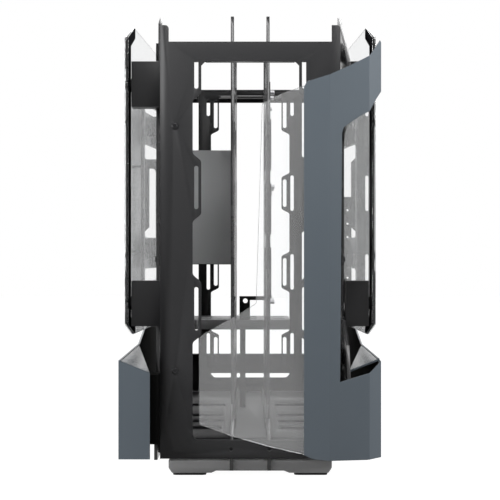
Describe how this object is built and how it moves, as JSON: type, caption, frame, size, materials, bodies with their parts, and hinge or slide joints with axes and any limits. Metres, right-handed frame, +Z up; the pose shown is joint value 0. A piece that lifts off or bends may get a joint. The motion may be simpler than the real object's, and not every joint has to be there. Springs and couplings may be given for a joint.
{
  "type": "computer case",
  "caption": "Open-frame tower computer case: upright black rib plates carry fan plates, trays, folded slate covers and clear glass panels, with sprung power and reset buttons.",
  "frame": {"origin": "bottom centre of the whole case, on the surface that its rubber pads rest on", "axes": "+X to the case's right as seen from the front, +Y from the front to the back, +Z up"},
  "size_m": [0.299, 0.735, 0.5575],
  "materials": {
    "frame_black": "satin",
    "bracket_black": "satin",
    "foot_metal": "satin",
    "foot_rubber": "matte",
    "bright_steel": "satin",
    "tray_metal": "satin",
    "shelf_metal": "satin",
    "panel_grey": "satin",
    "side_glass": "polished",
    "front_glass": "polished",
    "block_black": "satin",
    "cover_slate": "satin",
    "housing_plastic": "matte",
    "port_steel": "satin",
    "button_metal": "satin",
    "screw_black": "satin"
  },
  "bodies": {
    "frame": {"front_fan_plate": "frame_black", "outer_rib_left": "frame_black", "outer_rib_right": "frame_black", "inner_rib_left": "bracket_black", "inner_rib_right": "bracket_black", "rear_fan_bracket": "bracket_black", "rear_top_shelf": "bracket_black", "rear_lower_panel": "frame_black", "top_cross_bar": "bracket_black", "base_bar_front": "bracket_black", "base_bar_rear": "bracket_black", "front_foot_bar": "foot_metal", "rear_foot_bar": "foot_metal", "front_foot_pads": "foot_rubber", "rear_foot_pads": "foot_rubber", "rib_spacers": "bright_steel", "floor_tray_left": "tray_metal", "floor_tray_middle": "tray_metal", "floor_tray_right": "tray_metal", "supply_shelf_left": "shelf_metal", "supply_shelf_middle": "shelf_metal", "supply_shelf_right": "shelf_metal", "drive_bracket": "bracket_black", "bracket_post": "bracket_black", "cable_cover": "panel_grey", "cable_cover_brackets": "bracket_black", "motherboard_tray": "tray_metal", "motherboard_spacers": "bright_steel", "card_rail": "bracket_black", "supply_bracket": "bracket_black", "glass_left": "side_glass", "glass_right": "side_glass", "glass_blocks_left": "block_black", "glass_blocks_right": "block_black", "glass_caps_left": "block_black", "glass_caps_right": "block_black", "front_glass": "front_glass", "front_glass_spacers": "block_black", "front_cover": "cover_slate", "side_cover_left": "cover_slate", "side_cover_right": "cover_slate", "side_cover_bracket": "bracket_black", "side_cover_arms": "bracket_black", "port_housing": "housing_plastic", "port_inserts": "port_steel", "frame_screws": "screw_black"},
    "power_key": {"power_button": "button_metal"},
    "reset_key": {"reset_button": "button_metal"}
  },
  "joints": [
    {"name": "power_press", "type": "slide", "parent": "frame", "child": "power_key", "axis": [0, 0, 1], "range_m": [-0.0015, 0], "stiffness_N_per_m": 500, "springref_m": 0.001},
    {"name": "reset_press", "type": "slide", "parent": "frame", "child": "reset_key", "axis": [0, 0, 1], "range_m": [-0.0015, 0], "stiffness_N_per_m": 300, "springref_m": 0.001}
  ]
}
